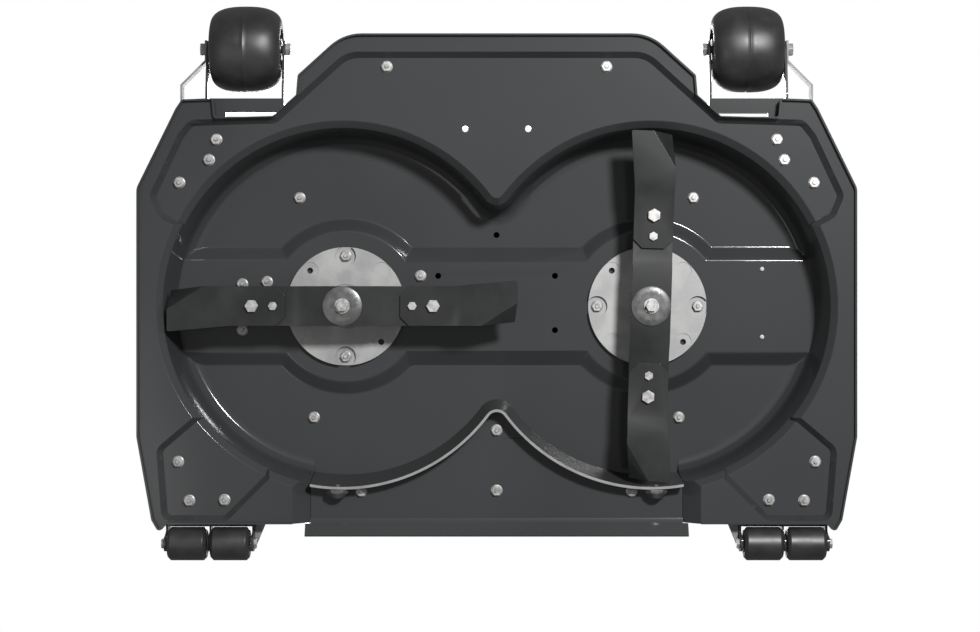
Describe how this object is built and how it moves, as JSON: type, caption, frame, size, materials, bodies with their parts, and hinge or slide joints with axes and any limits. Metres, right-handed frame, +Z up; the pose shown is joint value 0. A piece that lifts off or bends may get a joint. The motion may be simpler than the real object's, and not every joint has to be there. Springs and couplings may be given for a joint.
{
  "type": "lawn mower deck",
  "caption": "Underside-open twin-blade mower deck: drawn shell with a figure-eight cutting chamber, rear discharge, timed belt-driven spindles, front gauge wheels and rear rollers.",
  "frame": {"origin": "on the ground under the middle of the whole deck", "axes": "+Z up, +Y towards the mower front, +X across the deck to its left side"},
  "size_m": [1.162, 0.901, 0.252],
  "materials": {
    "bearing_steel": "ground",
    "belt": "matte",
    "black_plastic": "matte",
    "blade_steel": "semi-gloss",
    "housing": "cast",
    "painted_steel": "satin",
    "sintered": "sintered",
    "tyre": "satin",
    "zinc": "plated"
  },
  "bodies": {
    "deck": {"baffle_knobs": "zinc", "belt_cover": "black_plastic", "cover_bolts": "zinc", "cusp_plate": "painted_steel", "deck_shell": "painted_steel", "discharge_baffle": "painted_steel", "front_hanger": "painted_steel", "hanger_bolts": "zinc", "housing_bolts": "zinc", "idler_bracket": "painted_steel", "lift_bracket_front_left": "painted_steel", "lift_bracket_front_right": "painted_steel", "lift_bracket_rear_left": "painted_steel", "lift_bracket_rear_right": "painted_steel", "panel_bolts": "zinc", "rear_panel": "painted_steel", "roller_axle_left": "zinc", "roller_axle_right": "zinc", "roller_bracket_bolts": "zinc", "roller_bracket_left": "painted_steel", "roller_bracket_right": "painted_steel", "roller_gusset_left": "zinc", "roller_gusset_right": "zinc", "spindle_bearings": "bearing_steel", "spindle_housing_left": "housing", "spindle_housing_right": "housing", "timing_belt": "belt", "wheel_axle_left": "zinc", "wheel_axle_right": "zinc", "wheel_brace_left": "zinc", "wheel_brace_right": "zinc", "wheel_bracket_bolts": "zinc", "wheel_bracket_left": "painted_steel", "wheel_bracket_right": "painted_steel"},
    "spindle_left": {"blade_bolt_left": "zinc", "blade_carrier_left": "blade_steel", "blade_tip_left_a": "blade_steel", "blade_tip_left_b": "blade_steel", "cup_washer_left": "blade_steel", "spindle_nut_left": "zinc", "spindle_shaft_left": "bearing_steel", "timing_pulley_left": "sintered", "tip_bolts_left": "zinc"},
    "spindle_right": {"blade_bolt_right": "zinc", "blade_carrier_right": "blade_steel", "blade_tip_right_a": "blade_steel", "blade_tip_right_b": "blade_steel", "cup_washer_right": "blade_steel", "drive_sheave": "painted_steel", "spindle_nut_right": "zinc", "spindle_shaft_right": "bearing_steel", "timing_pulley_right": "sintered", "tip_bolts_right": "zinc"},
    "idler": {"idler_pulley": "sintered"},
    "wheel_left": {"gauge_wheel_left": "tyre"},
    "wheel_right": {"gauge_wheel_right": "tyre"},
    "roller_left_outer": {"roller_left_outer": "tyre"},
    "roller_left_inner": {"roller_left_inner": "tyre"},
    "roller_right_outer": {"roller_right_outer": "tyre"},
    "roller_right_inner": {"roller_right_inner": "tyre"}
  },
  "joints": [
    {"name": "left_spindle_spin", "type": "hinge", "parent": "deck", "child": "spindle_left", "pos_m": [0.25, -0.0395, 0.12], "axis": [0, 0, 1], "continuous": true},
    {"name": "right_spindle_spin", "type": "hinge", "parent": "deck", "child": "spindle_right", "pos_m": [-0.25, -0.0395, 0.12], "axis": [0, 0, 1], "continuous": true},
    {"name": "idler_spin", "type": "hinge", "parent": "deck", "child": "idler", "pos_m": [0.126, 0.02644, 0.185], "axis": [0, 0, 1], "continuous": true},
    {"name": "left_wheel_spin", "type": "hinge", "parent": "deck", "child": "wheel_left", "pos_m": [0.409, 0.3805, 0.07], "axis": [1, 0, 0], "continuous": true},
    {"name": "right_wheel_spin", "type": "hinge", "parent": "deck", "child": "wheel_right", "pos_m": [-0.409, 0.3805, 0.07], "axis": [1, 0, 0], "continuous": true},
    {"name": "left_outer_roller_spin", "type": "hinge", "parent": "deck", "child": "roller_left_outer", "pos_m": [0.4995, -0.4235, 0.027], "axis": [1, 0, 0], "continuous": true},
    {"name": "left_inner_roller_spin", "type": "hinge", "parent": "deck", "child": "roller_left_inner", "pos_m": [0.4305, -0.4235, 0.027], "axis": [1, 0, 0], "continuous": true},
    {"name": "right_outer_roller_spin", "type": "hinge", "parent": "deck", "child": "roller_right_outer", "pos_m": [-0.4995, -0.4235, 0.027], "axis": [1, 0, 0], "continuous": true},
    {"name": "right_inner_roller_spin", "type": "hinge", "parent": "deck", "child": "roller_right_inner", "pos_m": [-0.4305, -0.4235, 0.027], "axis": [1, 0, 0], "continuous": true}
  ],
  "couplings": [
    {"joint": "right_spindle_spin", "follows": "left_spindle_spin", "ratio": 1},
    {"joint": "idler_spin", "follows": "left_spindle_spin", "ratio": -2.5465}
  ]
}
